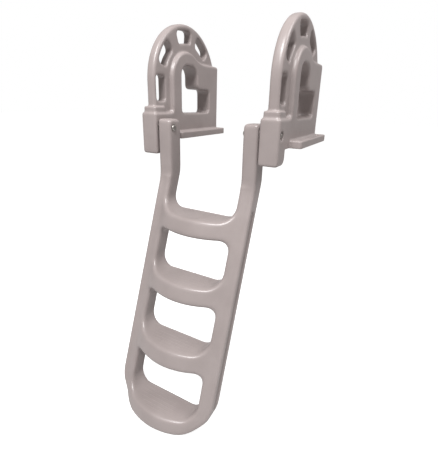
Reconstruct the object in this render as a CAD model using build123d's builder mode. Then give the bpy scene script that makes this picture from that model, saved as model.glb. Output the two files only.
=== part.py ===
from build123d import *
from math import cos, radians, sin, tan
import os

# Flip-up dock ladder: one moulded ladder hung on bolts between two moulded handrail brackets.
# Millimetres. X runs along the dock's edge, Y in over the dock, Z up.
# The origin is on the underside of the left bracket's foot, at its middle.
# Depths below are counted from the rear face of the hinge blocks, which sits at the dock's edge.

# Ladder
clear_width = 355.6
rail_width = 69.2
arm_depth = 84.0
arm_top = 95.0
rail_depth = 77.4
rail_lean = 20.15
bend_z = -163.6
bend_radius = 120.0
tread_count = 4
first_tread = -305.0
tread_rise = 270.0
tread_thickness = 78.0
end_thickness = 64.0
tread_bow = 68.0
nose_run = 40.0
rail_blend = 55.0
low_corner = 58.0
high_corner = 45.0
end_corner = 135.0
front_round = 14.0
rear_round = 7.0
groove_top = -235.0
groove_bottom = -1100.0
groove_front = 24.0
groove_width = 28.0
groove_point = 45.0
groove_depth = 9.0

# Handrail brackets
bracket_height = 520.7
hoop_front = -68.5
hoop_thickness = 46.0
hoop_round = 14.0
hoop_rim = 25.0
slot_width = 57.0
slot_angles = (145.0, 98.0, 56.0)
slot_span = 29.0
slot_corner = 17.0
slot_round = 7.0
low_slot_front = -50.0
low_slot_width = 62.0
low_slot_sill = 23.0
low_slot_rise = 31.0
panel_thickness = 84.0
panel_front = 47.3
panel_arch_radius = 129.6
panel_arch_rise = 17.3
panel_turn = 60.0
shoulder_rise = 106.0
shoulder_corner = 12.0
web_corner = 16.0
panel_round = 11.0
window_front = 120.0
window_low_rear = 376.0
window_high_rear = 257.0
window_bottom = 114.6
window_drop = 19.1
window_rise = 86.9
window_low_corner = 22.0
window_high_corner = 52.0
window_round = 7.0
foot_length = 430.0
foot_setback = 39.0
foot_width = 188.6
foot_thickness = 31.0
foot_corner = 14.0
foot_round = 5.0
trough_depth = 8.0
trough_rim = 11.0
trough_nose = 52.0
trough_ridge = 6.0
trough_corner = 7.0

# Hinge blocks and pivot bolts
side_gap = 5.0
block_depth = 90.0
block_bottom = -64.8
block_shoulder = 120.0
neck_top = 146.0
neck_inset = 8.0
block_round = 10.0
block_rear_round = 30.0
neck_round = 5.0
pivot_y = -54.0
pivot_z = 56.0
bolt_diameter = 12.7
running_fit = 0.05
loose_fit = 0.2
running_gap = 0.3
head_diameter = 27.0
head_height = 6.5
head_edge = 1.0
head_recess = 4.0
head_recess_diameter = 36.0
washer_diameter = 32.0
nut_washer_diameter = 27.0
washer_thickness = 2.5
spacer_diameter = 44.0
pocket_diameter = 36.0
pocket_depth = 18.0
nut_flats = 19.0
nut_height = 11.0
nut_chamfer = 1.0
bolt_overrun = 3.0

# Places worked out from the sizes above
rail_inner = clear_width / 2
rail_outer = rail_inner + rail_width
block_inner = rail_outer + side_gap
block_outer = block_inner + panel_thickness
bracket_mid = (block_inner + block_outer) / 2
ladder_x = bracket_mid
edge_y = -foot_length / 2 - foot_setback
slope = tan(radians(rail_lean))
rear_bend_z = bend_z + (arm_depth - rail_depth) / slope
tread_tops = [first_tread - tread * tread_rise for tread in range(tread_count)]
tread_undersides = [top - tread_thickness for top in tread_tops]
frame_bottom = tread_tops[-1] - end_thickness
bracket_rear = foot_setback + foot_length
hoop_radius = (bracket_rear - hoop_front) / 2
hoop_y = hoop_front + hoop_radius
hoop_z = bracket_height - hoop_radius
low_slot_bottom = neck_top + low_slot_sill
low_slot_height = hoop_z + low_slot_rise - low_slot_bottom
panel_arch_z = hoop_z + panel_arch_rise
shoulder_z = hoop_z + shoulder_rise
window_step = hoop_z - window_drop
window_top = hoop_z + window_rise
hoop_foot = block_shoulder - web_corner
panel_arch_y = panel_front + panel_arch_radius
slack = 0.5
bore_radius = bolt_diameter / 2 + running_fit
hole_radius = bolt_diameter / 2 + loose_fit
nut_seat = block_outer - pocket_depth + washer_thickness


def side_plane(x):
    return Plane(origin=(ladder_x + x, edge_y, 0), x_dir=(0, 1, 0), z_dir=(1, 0, 0))


def top_plane(z):
    return Plane(origin=(ladder_x, edge_y, z))


def front_plane(y=0.0):
    return Plane(origin=(ladder_x, edge_y + y, 0), x_dir=(1, 0, 0), z_dir=(0, -1, 0))


def pivot_plane(x, outward):
    pivot = (ladder_x + outward * x, edge_y + pivot_y, pivot_z)
    return Plane(origin=pivot, x_dir=(0, 1, 0), z_dir=(outward, 0, 0))


def rail_front(z):
    return -arm_depth + slope * (z - bend_z)


def points_on(edge):
    return [edge @ share for share in (0, 0.5, 1)]


def at_x(edge, x):
    return all(abs(point.X - ladder_x - x) < 0.01 for point in points_on(edge))


def at_y(edge, y):
    return all(abs(point.Y - edge_y - y) < 0.01 for point in points_on(edge))


def at_z(edge, z):
    return all(abs(point.Z - z) < 0.01 for point in points_on(edge))


def on_sides(edges, mid, thickness):
    return [e for e in edges if at_x(e, mid - thickness / 2) or at_x(e, mid + thickness / 2)]


def corners(sketch, y, z):
    return [v for v in sketch.vertices() if abs(v.X - y) < slack and abs(v.Y - z) < slack]


def level_with(vertices, heights):
    return [v for v in vertices if min(abs(v.Y - height) for height in heights) < slack]


def proud(edge):
    return rail_front(edge.center().Z) + edge_y - edge.center().Y


def between_rails(edge):
    return all(abs(point.X - ladder_x) < rail_inner + slack for point in points_on(edge))


os.makedirs("parts", exist_ok=True)

# Ladder moulding: arms, leaning rails and bowed treads are one piece
frame_top = bend_z + tread_bow
front = rail_front(frame_top)
rear = front + rail_depth
blend_x = rail_inner + nose_run
nose_sweep = (blend_x ** 2 + tread_bow ** 2) / (2 * tread_bow) - rail_blend
sweep_y = front - tread_bow + nose_sweep
touch = nose_sweep / (nose_sweep + rail_blend)
touch_x = blend_x * touch
touch_y = sweep_y + (front - rail_blend - sweep_y) * touch

with BuildPart() as ladder:
    with BuildSketch(top_plane(frame_top)):
        with BuildLine():
            Polyline((-blend_x, front), (-rail_outer, front), (-rail_outer, rear),
                     (rail_outer, rear), (rail_outer, front), (blend_x, front))
            RadiusArc((-blend_x, front), (-touch_x, touch_y), rail_blend)
            ThreePointArc((-touch_x, touch_y), (0, front - tread_bow), (touch_x, touch_y))
            RadiusArc((touch_x, touch_y), (blend_x, front), rail_blend)
        make_face()
    extrude(amount=(frame_top - frame_bottom) / cos(radians(rail_lean)),
            dir=(0, -sin(radians(rail_lean)), -cos(radians(rail_lean))))
    split(bisect_by=front_plane(), keep=Keep.TOP)
    low_edges = [e for e in ladder.edges() if at_z(e, frame_bottom)]
    fillet([e for e in low_edges if at_x(e, rail_outer) or at_x(e, -rail_outer)], end_corner)

    # Arms, plumb from the bend up to the pivots
    with BuildSketch(side_plane(-rail_outer)):
        with BuildLine():
            Polyline((-arm_depth, bend_z), (-arm_depth, arm_top), (0, arm_top), (0, rear_bend_z), close=True)
        make_face()
    extrude(amount=2 * rail_outer)

    # The gap between the arms and the gaps between the treads
    with BuildSketch(front_plane()) as gaps:
        with Locations((0, first_tread)):
            Rectangle(clear_width, 2 * arm_top - first_tread, align=(Align.CENTER, Align.MIN))
        for floor in tread_tops[1:]:
            with Locations((0, floor)):
                Rectangle(clear_width, tread_rise - tread_thickness, align=(Align.CENTER, Align.MIN))
        fillet(level_with(gaps.vertices(), tread_tops), low_corner)
        fillet(level_with(gaps.vertices(), tread_undersides), high_corner)
    extrude(amount=-frame_bottom, both=True, mode=Mode.SUBTRACT)

    # Soft moulded edges: the rear bends, then the noses and outlines, then the rear rims
    bends = [e for e in ladder.edges() if at_y(e, 0) and at_z(e, rear_bend_z)]
    fillet(bends, bend_radius)
    rims = [e for e in ladder.edges() if between_rails(e) and not at_z(e, frame_bottom)]
    front_rims = [e for e in rims if proud(e) > -slack]
    outline = [e for e in ladder.edges() if at_x(e, rail_outer) or at_x(e, -rail_outer) or at_z(e, arm_top)]
    fillet(front_rims + outline, front_round)
    rims = [e for e in ladder.edges() if between_rails(e) and not at_z(e, frame_bottom)]
    fillet([e for e in rims if at_y(e, 0) or -slack < proud(e) + rail_depth < rear_round], rear_round)

    # A groove runs down the outer side of each rail, pointed at its top
    for side in (-1, 1):
        with BuildSketch(side_plane(side * rail_outer)) as groove:
            with BuildLine():
                Polyline((rail_front(groove_top) + groove_front, groove_top),
                         (rail_front(groove_bottom) + groove_front, groove_bottom),
                         (rail_front(groove_bottom) + groove_front + groove_width, groove_bottom),
                         (rail_front(groove_top - groove_point) + groove_front + groove_width,
                          groove_top - groove_point), close=True)
            make_face()
            fillet(groove.vertices(), groove_width / 3)
        extrude(amount=-side * groove_depth, mode=Mode.SUBTRACT)
    for side in (-1, 1):
        # Pivot bore, with a recess for the bolt head on the inner side
        with BuildSketch(pivot_plane(0, side)):
            Circle(bore_radius)
        extrude(amount=rail_outer, mode=Mode.SUBTRACT)
        with BuildSketch(pivot_plane(0, side)):
            Circle(head_recess_diameter / 2)
        extrude(amount=rail_inner + head_recess, mode=Mode.SUBTRACT)
ladder.part.label = "ladder"
export_step(ladder.part, "parts/ladder.step")

# One slot of the hoop, a sector with soft corners, drawn about the hoop's own centre
with BuildSketch() as slot:
    Circle(hoop_radius - hoop_rim)
    Circle(hoop_radius - hoop_rim - slot_width, mode=Mode.SUBTRACT)
    with BuildLine():
        reach = hoop_radius / cos(radians(slot_span / 2))
        PolarLine((0, 0), reach, -slot_span / 2)
        PolarLine((0, 0), reach, slot_span / 2)
        Line((reach * cos(radians(slot_span / 2)), -reach * sin(radians(slot_span / 2))),
             (reach * cos(radians(slot_span / 2)), reach * sin(radians(slot_span / 2))))
    make_face(mode=Mode.INTERSECT)
    fillet(slot.vertices(), slot_corner)


def neck_at(mid):
    with BuildPart() as neck:
        with BuildSketch(side_plane(mid)):
            with Locations((-block_depth + neck_inset, block_shoulder - web_corner)):
                Rectangle(block_depth - neck_inset, neck_top - block_shoulder + web_corner, align=Align.MIN)
        extrude(amount=panel_thickness / 2 - neck_inset, both=True)
        fillet(neck.edges().filter_by(Axis.Z), block_round)
        fillet(neck.faces().sort_by(Axis.Z)[-1].edges(), neck_round)
    return neck.part


def foot_at(mid):
    with BuildPart() as foot:
        with BuildSketch(Plane(origin=(ladder_x + mid, edge_y + foot_setback + foot_length / 2, 0))):
            RectangleRounded(foot_width, foot_length, foot_corner)
        extrude(amount=foot_thickness)
        fillet(foot.faces().sort_by(Axis.Z)[-1].edges(), foot_round)

        # A shallow trough each side of the panel, closed by a rim
        trough_width = foot_width / 2 - trough_rim - panel_thickness / 2 - trough_ridge
        trough_length = foot_length - trough_nose - trough_rim
        with BuildSketch(Plane(origin=(ladder_x + mid, bracket_rear - trough_rim, foot_thickness))):
            for side in (-1, 1):
                with Locations((side * (foot_width / 2 - trough_rim - trough_width / 2), -trough_length / 2)):
                    RectangleRounded(trough_width, trough_length, trough_corner)
        extrude(amount=-trough_depth, mode=Mode.SUBTRACT)
    return foot.part


def build_bracket(outward):
    mid = outward * bracket_mid
    with BuildPart() as bracket:
        # Hoop that serves as the handrail
        with BuildSketch(side_plane(mid)):
            with BuildLine():
                Line((hoop_front, hoop_foot), (hoop_front, hoop_z))
                CenterArc((hoop_y, hoop_z), hoop_radius, 180, -180)
                Polyline((bracket_rear, hoop_z), (bracket_rear, hoop_foot), (hoop_front, hoop_foot))
            make_face()
        extrude(amount=hoop_thickness / 2, both=True)
        sides = on_sides(bracket.edges(), mid, hoop_thickness)
        fillet([e for e in sides if not at_z(e, hoop_foot)], hoop_round)

        # Hand slots through the hoop
        with BuildSketch(side_plane(mid)):
            for angle in slot_angles:
                with Locations(Location((hoop_y, hoop_z), angle)):
                    add(slot.sketch)
            with Locations((low_slot_front, low_slot_bottom)):
                RectangleRounded(low_slot_width, low_slot_height, slot_corner, align=(Align.MIN, Align.MIN))
        extrude(amount=hoop_thickness, both=True, mode=Mode.SUBTRACT)
        fillet(on_sides(bracket.edges(Select.LAST), mid, hoop_thickness), slot_round)

        # Hinge block, web and raised panel share one outline; the block hangs over the dock's edge
        with BuildSketch(side_plane(mid)) as panel:
            with BuildLine():
                Polyline((0, block_bottom), (-block_depth, block_bottom), (-block_depth, block_shoulder),
                         (panel_front, block_shoulder), (panel_front, panel_arch_z))
                arch = CenterArc((panel_arch_y, panel_arch_z), panel_arch_radius, 180, panel_turn - 180)
                sag_radius = ((arch @ 1).Y - shoulder_z) / (1 - sin(radians(panel_turn)))
                sag_foot = ((arch @ 1).X + sag_radius * cos(radians(panel_turn)), shoulder_z)
                TangentArc(arch @ 1, sag_foot, tangent=arch % 1)
                Polyline(sag_foot, (bracket_rear, shoulder_z), (bracket_rear, 0), (0, 0), (0, block_bottom))
            make_face()
            fillet(corners(panel, panel_front, block_shoulder), web_corner)
            fillet(corners(panel, bracket_rear, shoulder_z), shoulder_corner)
            fillet(corners(panel, 0, block_bottom), block_rear_round)
            fillet(corners(panel, -block_depth, block_bottom), block_round)
            fillet(corners(panel, -block_depth, block_shoulder), block_round)
        extrude(amount=panel_thickness / 2, both=True)
        sides = on_sides(bracket.edges(), mid, panel_thickness)
        fillet([e for e in sides if not at_z(e, 0)], panel_round)

        # Carrying window through the panel
        with BuildSketch(side_plane(mid)) as window:
            with BuildLine():
                Polyline((window_front, window_bottom), (window_front, window_top),
                         (window_high_rear, window_top), (window_high_rear, window_step),
                         (window_low_rear, window_step), (window_low_rear, window_bottom), close=True)
            make_face()
            fillet(level_with(window.vertices(), [window_top]), window_high_corner)
            fillet([v for v in window.vertices() if v.Y < window_step + slack], window_low_corner)
        extrude(amount=panel_thickness, both=True, mode=Mode.SUBTRACT)
        fillet(on_sides(bracket.edges(Select.LAST), mid, panel_thickness), window_round)

        # Neck over the hinge block and the wide hollow-topped foot
        add(neck_at(mid))
        add(foot_at(mid))

        # Bolt hole, with a pocket for the nut on the outer side
        with BuildSketch(pivot_plane(block_inner, outward)):
            Circle(hole_radius)
        extrude(amount=panel_thickness, mode=Mode.SUBTRACT)
        with BuildSketch(pivot_plane(block_outer, outward)):
            Circle(pocket_diameter / 2)
        extrude(amount=-pocket_depth, mode=Mode.SUBTRACT)
    return bracket.part


for outward, name in ((-1, "left"), (1, "right")):
    bracket = build_bracket(outward)
    bracket.label = name + "_bracket"
    export_step(bracket, "parts/" + name + "_bracket.step")

    # Pivot bolt with a domed head on the inner side of the arm
    head_seat = rail_inner + head_recess - running_gap - washer_thickness
    with BuildPart() as bolt:
        with BuildSketch(pivot_plane(head_seat - head_height, outward)):
            Circle(head_diameter / 2)
        extrude(amount=head_height)
        fillet(bolt.edges().sort_by(Axis.X, reverse=outward < 0)[0], head_height - head_edge)
        with BuildSketch(pivot_plane(head_seat, outward)):
            Circle(bolt_diameter / 2)
        extrude(amount=nut_seat + nut_height + bolt_overrun - head_seat)
        chamfer(bolt.edges().sort_by(Axis.X, reverse=outward < 0)[-1], nut_chamfer)
    bolt.part.label = name + "_pivot_bolt"
    export_step(bolt.part, "parts/" + name + "_pivot_bolt.step")

    # Plain washers under the head and the nut, and the spacer beside the arm
    for label, start, width, diameter in (
            ("head_washer", head_seat, washer_thickness, washer_diameter),
            ("spacer", rail_outer + running_gap, side_gap - running_gap, spacer_diameter),
            ("nut_washer", nut_seat - washer_thickness, washer_thickness, nut_washer_diameter)):
        with BuildPart() as ring:
            with BuildSketch(pivot_plane(start, outward)):
                Circle(diameter / 2)
                Circle(hole_radius, mode=Mode.SUBTRACT)
            extrude(amount=width)
        ring.part.label = name + "_" + label
        export_step(ring.part, "parts/" + name + "_" + label + ".step")

    # Hexagon nut in the pocket
    with BuildPart() as nut:
        with BuildSketch(pivot_plane(nut_seat, outward)):
            RegularPolygon(nut_flats / 2, 6, major_radius=False)
            Circle(bolt_diameter / 2, mode=Mode.SUBTRACT)
        extrude(amount=nut_height)
    nut.part.label = name + "_nut"
    export_step(nut.part, "parts/" + name + "_nut.step")
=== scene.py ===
import math

import bmesh
import bpy
from mathutils import Matrix, Vector


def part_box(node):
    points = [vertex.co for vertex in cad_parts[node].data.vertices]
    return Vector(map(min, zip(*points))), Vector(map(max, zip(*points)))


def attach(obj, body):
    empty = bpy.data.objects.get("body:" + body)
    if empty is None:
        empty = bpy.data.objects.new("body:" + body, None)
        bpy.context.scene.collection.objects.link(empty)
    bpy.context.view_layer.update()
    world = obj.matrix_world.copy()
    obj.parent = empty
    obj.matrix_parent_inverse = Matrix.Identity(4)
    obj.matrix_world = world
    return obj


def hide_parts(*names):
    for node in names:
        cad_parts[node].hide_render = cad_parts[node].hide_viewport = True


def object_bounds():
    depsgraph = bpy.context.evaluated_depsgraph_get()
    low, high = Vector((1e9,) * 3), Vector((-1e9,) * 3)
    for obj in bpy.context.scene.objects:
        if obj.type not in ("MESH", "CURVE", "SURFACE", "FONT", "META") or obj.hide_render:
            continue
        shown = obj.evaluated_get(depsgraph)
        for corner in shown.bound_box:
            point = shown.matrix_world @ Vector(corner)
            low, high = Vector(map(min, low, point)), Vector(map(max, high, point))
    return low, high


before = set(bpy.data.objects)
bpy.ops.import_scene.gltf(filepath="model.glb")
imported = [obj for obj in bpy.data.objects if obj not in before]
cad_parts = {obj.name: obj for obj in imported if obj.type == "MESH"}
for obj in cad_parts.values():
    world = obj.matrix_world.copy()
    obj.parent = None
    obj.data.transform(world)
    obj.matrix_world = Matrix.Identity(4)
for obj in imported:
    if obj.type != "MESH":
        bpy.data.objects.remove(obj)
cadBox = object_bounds()
print("frame loaded:", len(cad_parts), "nodes")


def linear(hexColour):
    # sRGB hex, as a designer picks it, to the linear values that the shader wants
    channels = [int(hexColour[i:i + 2], 16) / 255 for i in (1, 3, 5)]
    return [c / 12.92 if c <= 0.04045 else ((c + 0.055) / 1.055) ** 2.4 for c in channels] + [1.0]


def addNode(tree, kind, settings=None, **links):
    # one node with its settings, and what feeds its inputs; i0, i1 ... are inputs by number
    node = tree.nodes.new(kind)
    for name, value in (settings or {}).items():
        if name in node.inputs:
            node.inputs[name].default_value = value
        else:
            setattr(node, name, value)
    for name, source in links.items():
        numbered = name[0] == "i" and name[1:].isdigit()
        target = node.inputs[int(name[1:])] if numbered else node.inputs[name.replace("_", " ")]
        if isinstance(source, (int, float, list, tuple)):
            target.default_value = source
        else:
            tree.links.new(source, target)
    return node


def newMaterial(name):
    material = bpy.data.materials.new(name)
    material.use_nodes = True
    material.node_tree.nodes.clear()
    return material, material.node_tree


# Rotomoulded polyethylene, pigmented greige. The powder fuses to a satin skin: a soft wide
# highlight, a faint cloudiness, fine pigment specks and slow waves where the wall shrank
polyethylene = {
    "colour": "#a39997",
    "cloudColour": "#9d9391",
    "speckColour": "#877e7d",
    "roughness": 0.31,
    "cloudSize": 0.11,
    "cloudRange": (0.35, 0.65),
    "speckSize": 0.0024,
    "speckRange": (0.64, 0.76),
    "speckShare": 0.3,
    "peelSize": 0.004,
    "peelHeight": 0.0002,
    "waveSize": 0.09,
    "waveHeight": 0.0016,
}


def makePolyethylene():
    material, tree = newMaterial("rotomoulded polyethylene")
    s = polyethylene
    spot = addNode(tree, "ShaderNodeTexCoord").outputs["Object"]
    cloud = addNode(tree, "ShaderNodeTexNoise", {"Scale": 1 / s["cloudSize"], "Detail": 3.0}, Vector=spot)
    low, high = s["cloudRange"]
    tone = addNode(tree, "ShaderNodeMapRange", {"From Min": low, "From Max": high},
                   Value=cloud.outputs["Fac"])
    tint = addNode(tree, "ShaderNodeMix", {"data_type": "RGBA"}, i0=tone.outputs["Result"],
                   i6=linear(s["cloudColour"]), i7=linear(s["colour"]))
    speck = addNode(tree, "ShaderNodeTexNoise", {"Scale": 1 / s["speckSize"], "Detail": 1.0}, Vector=spot)
    low, high = s["speckRange"]
    flecks = {"From Min": low, "From Max": high, "To Max": s["speckShare"]}
    fleck = addNode(tree, "ShaderNodeMapRange", flecks, Value=speck.outputs["Fac"])
    paint = addNode(tree, "ShaderNodeMix", {"data_type": "RGBA"}, i0=fleck.outputs["Result"],
                    i6=tint.outputs[2], i7=linear(s["speckColour"]))
    wave = addNode(tree, "ShaderNodeTexNoise", {"Scale": 1 / s["waveSize"], "Detail": 1.0}, Vector=spot)
    peel = addNode(tree, "ShaderNodeTexNoise", {"Scale": 1 / s["peelSize"], "Detail": 2.0}, Vector=spot)
    slow = addNode(tree, "ShaderNodeBump", {"Distance": s["waveHeight"]}, Height=wave.outputs["Fac"])
    fine = addNode(tree, "ShaderNodeBump", {"Distance": s["peelHeight"]}, Height=peel.outputs["Fac"],
                   Normal=slow.outputs["Normal"])
    skin = addNode(tree, "ShaderNodeBsdfPrincipled", {"Roughness": s["roughness"], "IOR": 1.5},
                   Base_Color=paint.outputs[2], Normal=fine.outputs["Normal"])
    addNode(tree, "ShaderNodeOutputMaterial", Surface=skin.outputs["BSDF"])
    return material


# Stainless steel, turned and dulled by weather: a grey metal with a grain too fine to see,
# drawn at a millimetre so that its highlights break up. The spacers sit in the gap beside the
# arms, and their steel is painted darker as painted shade, the shade of that gap
bright = {"name": "weathered stainless steel", "colour": "#a8a4a0", "roughness": 0.36,
          "grainSize": 0.0012, "smoother": 0.08, "rougher": 0.12}
# painted shade: the spacers' steel is made darker to stand for the shade in the gap beside the arms
shadedSpacerLook = {"name": "steel darkened with painted shade", "colour": "#6f6866", "roughness": 0.55,
             "grainSize": 0.002, "smoother": 0.08, "rougher": 0.12}


def makeSteel(s):
    material, tree = newMaterial(s["name"])
    spot = addNode(tree, "ShaderNodeTexCoord").outputs["Object"]
    grain = addNode(tree, "ShaderNodeTexNoise", {"Scale": 1 / s["grainSize"], "Detail": 2.0}, Vector=spot)
    spread = {"To Min": s["roughness"] - s["smoother"], "To Max": s["roughness"] + s["rougher"]}
    rough = addNode(tree, "ShaderNodeMapRange", spread, Value=grain.outputs["Fac"])
    metal = addNode(tree, "ShaderNodeBsdfPrincipled", {"Base Color": linear(s["colour"]), "Metallic": 1.0},
                    Roughness=rough.outputs["Result"])
    addNode(tree, "ShaderNodeOutputMaterial", Surface=metal.outputs["BSDF"])
    return material


moulded = makePolyethylene()
steel = makeSteel(bright)
shadedSpacerSteel = makeSteel(shadedSpacerLook)
print("materials made")

# Where the ladder's own forms lie. X and the heights come from its box, the depths from the
# dock's edge, which is in line with the rear of the arms
ladderLow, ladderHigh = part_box("ladder")
endThickness = 0.064
ladder = {
    "middle": (ladderLow[0] + ladderHigh[0]) / 2,
    "edge": -0.254,
    "armDepth": 0.084,
    "railDepth": 0.0774,
    "lean": math.radians(20.15),
    "bend": -0.1636,
    "bendRadius": 0.2,
    "treads": 4,
    "lastTread": ladderLow[2] + endThickness,
    "rise": 0.27,
    "cornerStart": 0.1198,
    "corner": 0.058,
    "noseRadius": 0.3278,
    "noseCentre": 0.2598,
}


def railFront(z):
    return ladder["edge"] - ladder["armDepth"] + math.tan(ladder["lean"]) * (z - ladder["bend"])


# The three mouldings, skinned afresh so that every corner softens as fused powder does. The
# treads' noses are rounder still, and the grooves in the rails' sides keep their crisper lines
noses = {
    "voxel": 0.0041,
    "smoothing": 9,
    "rounding": 43,
    "fullWithin": 0.205,
    "noneBeyond": 0.232,
}

# The brackets round off over their feet, and in front of the dock's edge. The feet stay crisp
panels = {
    "voxel": 0.003,
    "smoothing": 5,
    "rounding": 14,
    "noneBelow": 0.045,
    "fullOver": 0.075,
    "blockFade": 0.045,
}


def noseWeight(spot):
    across = abs(spot.x - ladder["middle"])
    return (noses["noneBeyond"] - across) / (noses["noneBeyond"] - noses["fullWithin"])


def panelWeight(spot):
    overFoot = (spot.z - panels["noneBelow"]) / (panels["fullOver"] - panels["noneBelow"])
    overWater = (ladder["edge"] - spot.y) / panels["blockFade"]
    return max(overFoot, overWater)


def easeBend(mesh):
    # the front of the arms turns into the leaning rails in an easy curve
    reach = ladder["bendRadius"] * math.tan(ladder["lean"] / 2)
    for vertex in mesh.vertices:
        along = abs(vertex.co.z - ladder["bend"])
        if along < reach:
            front = min(railFront(vertex.co.z), ladder["edge"] - ladder["armDepth"])
            weight = 1 - min(max((vertex.co.y - front) / ladder["railDepth"], 0), 1)
            vertex.co.y -= weight * (reach - along) ** 2 / (2 * ladder["bendRadius"])


# The foot under each panel: a trough on either side, with a flat nose in front and a rim all
# round. The CAD's troughs lie too far back, so the top is filled and new ones are pressed in
foot = {
    "length": 0.43,
    "top": 0.031,
    "round": 0.005,
    "roundSteps": 4,
    "panel": 0.084,
    "nose": 0.052,
    "rim": 0.011,
    "ridge": 0.006,
    "corner": 0.007,
    "depth": 0.008,
    "wall": 0.004,
    "flatWithin": 0.002,
}


def fillFootTop(shell, nodeName):
    # a plain block on each side, rounded along its upper rear edge as the foot is
    low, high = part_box(nodeName)
    middle = (low[0] + high[0]) / 2
    reach = (high[0] - low[0]) / 2 - foot["round"]
    for side in (-1, 1):
        inner = middle + side * foot["panel"] / 2
        outer = middle + side * reach
        size = Vector((abs(outer - inner), foot["length"] / 2, foot["top"] / 2))
        place = Vector(((inner + outer) / 2, high[1] - size.y / 2, foot["top"] - size.z / 2))
        block = bmesh.ops.create_cube(shell, size=1, matrix=Matrix.LocRotScale(place, None, size))
        edges = {edge for vertex in block["verts"] for edge in vertex.link_edges}
        crest = max(edges, key=lambda edge: sum(vertex.co.y + vertex.co.z for vertex in edge.verts))
        bmesh.ops.bevel(shell, geom=[crest], offset=foot["round"], segments=foot["roundSteps"],
                        profile=0.5, affect="EDGES")


def pressTroughs(mesh, nodeName):
    # what is flat and level with the foot's top goes down inside each rounded outline
    low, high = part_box(nodeName)
    middle = (low[0] + high[0]) / 2
    inner = foot["panel"] / 2 + foot["ridge"]
    outer = (high[0] - low[0]) / 2 - foot["rim"]
    front = high[1] - foot["length"] + foot["nose"]
    rear = high[1] - foot["rim"]
    centre = Vector(((inner + outer) / 2, (front + rear) / 2))
    half = Vector(((outer - inner) / 2, (rear - front) / 2))
    for vertex in mesh.vertices:
        if abs(vertex.co.z - foot["top"]) < foot["flatWithin"]:
            across = abs(abs(vertex.co.x - middle) - centre.x) - half.x + foot["corner"]
            along = abs(vertex.co.y - centre.y) - half.y + foot["corner"]
            past = Vector((max(across, 0), max(along, 0))).length + min(max(across, along), 0)
            share = min(max((foot["corner"] - past) / foot["wall"], 0), 1)
            vertex.co.z -= foot["depth"] * share * share * (3 - 2 * share)


def bakeModifiers(piece):
    view = bpy.context.evaluated_depsgraph_get()
    finished = bpy.data.meshes.new_from_object(piece.evaluated_get(view))
    piece.modifiers.clear()
    piece.data = finished


def mergedCopy(nodeName, withFoot):
    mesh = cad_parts[nodeName].data.copy()
    shell = bmesh.new()
    shell.from_mesh(mesh)
    bmesh.ops.remove_doubles(shell, verts=shell.verts, dist=0.000001)
    if withFoot:
        fillFootTop(shell, nodeName)
    shell.to_mesh(mesh)
    shell.free()
    return mesh


def skinOver(piece, sizes):
    remesh = piece.modifiers.new("skin", "REMESH")
    remesh.mode = "VOXEL"
    remesh.voxel_size = sizes["voxel"]
    smooth = piece.modifiers.new("smoothing", "LAPLACIANSMOOTH")
    smooth.iterations = sizes["smoothing"]
    smooth.lambda_factor = 1.0
    bakeModifiers(piece)


def roundOff(piece, sizes, weight):
    group = piece.vertex_groups.new(name="rounded")
    for vertex in piece.data.vertices:
        group.add([vertex.index], min(max(weight(vertex.co), 0), 1), "REPLACE")
    rounding = piece.modifiers.new("rounding", "SMOOTH")
    rounding.iterations = sizes["rounding"]
    rounding.vertex_group = "rounded"
    bakeModifiers(piece)


def soften(nodeName, body, sizes, weight):
    isBracket = body == "dock_brackets"
    piece = bpy.data.objects.new(nodeName + "Skin", mergedCopy(nodeName, isBracket))
    bpy.context.collection.objects.link(piece)
    skinOver(piece, sizes)
    roundOff(piece, sizes, weight)
    finished = piece.data
    if isBracket:
        pressTroughs(finished, nodeName)
    else:
        easeBend(finished)
    finished.materials.clear()
    finished.materials.append(moulded)
    finished.polygons.foreach_set("use_smooth", [True] * len(finished.polygons))
    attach(piece, body)
    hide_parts(nodeName)
    print(nodeName, "softened:", len(finished.polygons), "faces")


soften("ladder", "flip_ladder", noses, noseWeight)
soften("left_bracket", "dock_brackets", panels, panelWeight)
soften("right_bracket", "dock_brackets", panels, panelWeight)

# Low grip lines moulded across each tread's top. They follow the tread up into its soft
# corners, stop short of the bowed nose, and sink away at their ends
gripLines = {
    "count": 7,
    "pitch": 0.0165,
    "rear": 0.016,
    "radius": 0.0045,
    "height": 0.0005,
    "climb": 0.035,
    "noseMargin": 0.022,
    "fade": 0.014,
    "tip": 0.1,
    "sides": 10,
    "spans": 36,
}


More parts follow.
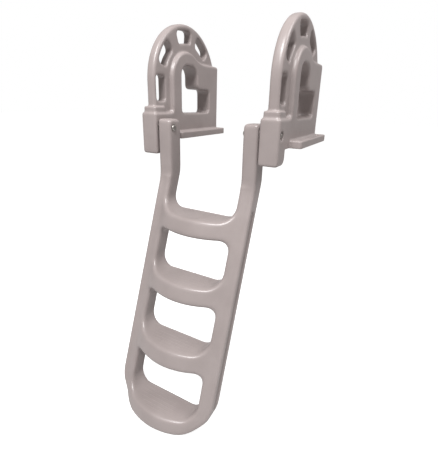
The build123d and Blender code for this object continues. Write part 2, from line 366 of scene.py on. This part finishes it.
def addGripLines():
    g = gripLines
    tree = bpy.data.node_groups.new("grip lines", "GeometryNodeTree")
    tree.interface.new_socket("Geometry", in_out="INPUT", socket_type="NodeSocketGeometry")
    firstTread = ladder["lastTread"] + (ladder["treads"] - 1) * ladder["rise"]
    rear = railFront(firstTread) + ladder["railDepth"]
    sizes = {
        "Lines": g["count"], "Treads": ladder["treads"], "Pitch": g["pitch"], "Rise": ladder["rise"],
        "Set Back": math.tan(ladder["lean"]) * ladder["rise"], "Rear Margin": g["rear"],
        "Longest": ladder["cornerStart"] + g["climb"], "Corner Start": ladder["cornerStart"],
        "Corner": ladder["corner"], "Nose Radius": ladder["noseRadius"],
        "Nose Reach": ladder["noseCentre"] + g["noseMargin"] - ladder["railDepth"],
        "Line Radius": g["radius"], "Line Height": g["height"], "Fade": g["fade"],
        "Middle": ladder["middle"], "Rear": rear, "Top": firstTread,
    }
    socketFor = {}
    for name, value in sizes.items():
        kind = "NodeSocketInt" if name in ("Lines", "Treads") else "NodeSocketFloat"
        socketFor[name] = tree.interface.new_socket(name, in_out="INPUT", socket_type=kind).identifier
    tree.interface.new_socket("Geometry", in_out="OUTPUT", socket_type="NodeSocketGeometry")
    given = addNode(tree, "NodeGroupInput").outputs

    def work(operation, *values):
        inputs = {"i" + str(place): value for place, value in enumerate(values)}
        return addNode(tree, "ShaderNodeMath", {"operation": operation}, **inputs).outputs[0]

    def position():
        here = addNode(tree, "GeometryNodeInputPosition")
        return addNode(tree, "ShaderNodeSeparateXYZ", i0=here.outputs[0]).outputs

    # one straight line a row, its half length set by where the nose is
    down = work("MULTIPLY", given["Pitch"], -1.0)
    step = addNode(tree, "ShaderNodeCombineXYZ", Y=down)
    start = addNode(tree, "ShaderNodeCombineXYZ", Y=work("MULTIPLY", given["Rear Margin"], -1.0))
    rows = addNode(tree, "GeometryNodeMeshLine", {"mode": "OFFSET"}, Count=given["Lines"],
                   Start_Location=start.outputs[0], Offset=step.outputs[0])
    spot = position()
    depth = work("SUBTRACT", given["Nose Reach"], spot["Y"])
    square = work("SUBTRACT", work("POWER", given["Nose Radius"], 2.0), work("POWER", depth, 2.0))
    chord = work("SQRT", square)
    half = work("MINIMUM", given["Longest"], chord)
    stretch = addNode(tree, "ShaderNodeCombineXYZ", X=half, Y=1.0, Z=1.0)
    stroke = addNode(tree, "GeometryNodeCurvePrimitiveLine", {"Start": (-1, 0, 0), "End": (1, 0, 0)})
    placed = addNode(tree, "GeometryNodeInstanceOnPoints", Points=rows.outputs[0], Instance=stroke.outputs[0],
                     Scale=stretch.outputs[0])
    lines = addNode(tree, "GeometryNodeRealizeInstances", Geometry=placed.outputs[0])
    lines = addNode(tree, "GeometryNodeResampleCurve", Curve=lines.outputs[0], Count=g["spans"])

    # bend both ends up round the corners, and sink the line so that only its crest shows
    spot = position()
    past = work("MAXIMUM", work("SUBTRACT", work("ABSOLUTE", spot["X"]), given["Corner Start"]), 0.0)
    angle = work("DIVIDE", past, given["Corner"])
    inner = work("MINIMUM", work("ABSOLUTE", spot["X"]), given["Corner Start"])
    sunk = work("ADD", given["Corner"], work("SUBTRACT", given["Line Radius"], given["Line Height"]))
    across = work("ADD", inner, work("MULTIPLY", work("SINE", angle), sunk))
    across = work("MULTIPLY", across, work("SIGN", spot["X"]))
    up = work("SUBTRACT", given["Corner"], work("MULTIPLY", work("COSINE", angle), sunk))
    bent = addNode(tree, "ShaderNodeCombineXYZ", X=across, Y=spot["Y"], Z=up)
    lines = addNode(tree, "GeometryNodeSetPosition", Geometry=lines.outputs[0], Position=bent.outputs[0])
    run = addNode(tree, "GeometryNodeSplineParameter").outputs["Length"]
    whole = addNode(tree, "GeometryNodeSplineLength").outputs["Length"]
    share = work("DIVIDE", work("MINIMUM", run, work("SUBTRACT", whole, run)), given["Fade"])
    radius = work("MULTIPLY", work("MINIMUM", work("ADD", share, g["tip"]), 1.0), given["Line Radius"])
    profile = addNode(tree, "GeometryNodeCurvePrimitiveCircle", {"Resolution": g["sides"], "Radius": 1.0})
    lines = addNode(tree, "GeometryNodeSetCurveRadius", Curve=lines.outputs[0], Radius=radius)
    ribs = addNode(tree, "GeometryNodeCurveToMesh", {"Fill Caps": True}, Curve=lines.outputs[0],
                   Profile_Curve=profile.outputs[0], Scale=radius)

    # the same set of lines on every tread, each lower and further out
    fall = addNode(tree, "ShaderNodeCombineXYZ", Y=work("MULTIPLY", given["Set Back"], -1.0),
                   Z=work("MULTIPLY", given["Rise"], -1.0))
    top = addNode(tree, "ShaderNodeCombineXYZ", X=given["Middle"], Y=given["Rear"], Z=given["Top"])
    treads = addNode(tree, "GeometryNodeMeshLine", {"mode": "OFFSET"}, Count=given["Treads"],
                     Start_Location=top.outputs[0], Offset=fall.outputs[0])
    sets = addNode(tree, "GeometryNodeInstanceOnPoints", Points=treads.outputs[0], Instance=ribs.outputs[0])
    solid = addNode(tree, "GeometryNodeRealizeInstances", Geometry=sets.outputs[0])
    dressed = addNode(tree, "GeometryNodeSetMaterial", {"Material": moulded}, Geometry=solid.outputs[0])
    addNode(tree, "NodeGroupOutput", i0=dressed.outputs[0])

    piece = bpy.data.objects.new("treadGripLines", bpy.data.meshes.new("treadGripLines"))
    bpy.context.collection.objects.link(piece)
    modifier = piece.modifiers.new("grip lines", "NODES")
    modifier.node_group = tree
    for name, value in sizes.items():
        modifier[socketFor[name]] = value
    view = bpy.context.evaluated_depsgraph_get()
    piece.data = bpy.data.meshes.new_from_object(piece.evaluated_get(view))
    piece.modifiers.clear()
    piece.data.polygons.foreach_set("use_smooth", [True] * len(piece.data.polygons))
    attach(piece, "flip_ladder")
    print("grip lines made:", len(piece.data.polygons), "faces")


addGripLines()

# the spacers take the darker steel, which is painted shade for their gap; the other hardware takes the plain
# steel
for nodeName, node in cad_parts.items():
    if nodeName.endswith(("bolt", "washer", "nut", "spacer")):
        node.data.materials.clear()
        node.data.materials.append(shadedSpacerSteel if nodeName.endswith("spacer") else steel)
print("hardware dressed")

# Camera as in the photo, whose frame is 438 by 456 px
photo = {
    "width": 438,
    "focal": 328.57,
    "centre": (224.54, 218.13),
    "middle": (219, 228),
    "place": (1.04961, -1.55539, 0.17045),
    "heading": 27.913,
    "dip": 19.346,
    "roll": 1.695,
    "farthest": 100,
}


def makeCamera():
    lens = bpy.data.cameras.new("photo camera")
    lens.sensor_fit = "HORIZONTAL"
    lens.lens = photo["focal"] / photo["width"] * lens.sensor_width
    lens.shift_x = (photo["middle"][0] - photo["centre"][0]) / photo["width"]
    lens.shift_y = (photo["centre"][1] - photo["middle"][1]) / photo["width"]
    lens.clip_end = photo["farthest"]
    camera = bpy.data.objects.new("photo camera", lens)
    bpy.context.collection.objects.link(camera)
    camera.matrix_world = (Matrix.Translation(photo["place"])
                           @ Matrix.Rotation(math.radians(photo["heading"]), 4, "Z")
                           @ Matrix.Rotation(math.radians(90 - photo["dip"]), 4, "X")
                           @ Matrix.Rotation(math.radians(photo["roll"]), 4, "Z"))
    bpy.context.scene.camera = camera


makeCamera()

# Soft studio light: a wide lamp high in front, a weaker one high on the right, and an even,
# faintly warm room
lamps = {
    "front lamp": {"power": 305, "size": 1.9, "place": (0.6, -2.9, 3.9)},
    "side lamp": {"power": 70, "size": 1.8, "place": (3.0, 0.6, 3.0)},
}
studio = {
    "aim": (0.3, -0.4, -0.4),
    "room": 0.25,
    "roomColour": "#fff6f4",
    "glossShare": 0.2,
    "floorSize": 60,
    "floorGap": 0.002,
    "floorColour": "#c8c8c8",
    "floorLift": 0.88,
}


def seenWhite(tree):
    # the camera and clear pieces see the backdrop white, and gloss sees it so in part
    ray = addNode(tree, "ShaderNodeLightPath").outputs
    gloss = addNode(tree, "ShaderNodeMath", {"operation": "MULTIPLY"}, i0=ray["Is Glossy Ray"],
                    i1=studio["glossShare"])
    clear = addNode(tree, "ShaderNodeMath", {"operation": "MAXIMUM"}, i0=ray["Is Camera Ray"],
                    i1=ray["Is Transmission Ray"])
    seen = addNode(tree, "ShaderNodeMath", {"operation": "MAXIMUM"}, i0=clear.outputs[0], i1=gloss.outputs[0])
    return seen.outputs[0]


def makeStudio():
    for name, given in lamps.items():
        light = bpy.data.lights.new(name, "AREA")
        light.energy = given["power"]
        light.size = given["size"]
        lamp = bpy.data.objects.new(name, light)
        bpy.context.collection.objects.link(lamp)
        lamp.location = given["place"]
        lamp.rotation_euler = (Vector(studio["aim"]) - lamp.location).to_track_quat("-Z", "Y").to_euler()

    world = bpy.data.worlds.new("pale room")
    bpy.context.scene.world = world
    world.use_nodes = True
    tree = world.node_tree
    tree.nodes.clear()
    seen = seenWhite(tree)
    room = addNode(tree, "ShaderNodeBackground",
                   {"Color": linear(studio["roomColour"]), "Strength": studio["room"]})
    backdrop = addNode(tree, "ShaderNodeBackground", {"Color": (1, 1, 1, 1), "Strength": 1.0})
    mix = addNode(tree, "ShaderNodeMixShader", i0=seen, i1=room.outputs[0], i2=backdrop.outputs[0])
    addNode(tree, "ShaderNodeOutputWorld", Surface=mix.outputs[0])

    # the floor is white to the camera, a little brighter than it is lit, and keeps the shadow
    plane = bpy.data.meshes.new("studio floor")
    half = studio["floorSize"] / 2
    low = cadBox[0][2] - studio["floorGap"]
    corners = [(-half, -half, low), (half, -half, low), (half, half, low), (-half, half, low)]
    plane.from_pydata(corners, [], [(0, 1, 2, 3)])
    floor = bpy.data.objects.new("studio floor", plane)
    bpy.context.collection.objects.link(floor)
    material, tree = newMaterial("matt white floor")
    seen = seenWhite(tree)
    paint = addNode(tree, "ShaderNodeBsdfDiffuse", {"Color": linear(studio["floorColour"])})
    lift = addNode(tree, "ShaderNodeEmission", {"Strength": studio["floorLift"]})
    both = addNode(tree, "ShaderNodeAddShader", i0=paint.outputs[0], i1=lift.outputs[0])
    mix = addNode(tree, "ShaderNodeMixShader", i0=seen, i1=paint.outputs[0], i2=both.outputs[0])
    addNode(tree, "ShaderNodeOutputMaterial", Surface=mix.outputs[0])
    plane.materials.append(material)


makeStudio()
bpy.context.scene.view_settings.view_transform = "Standard"
print("camera and studio set")
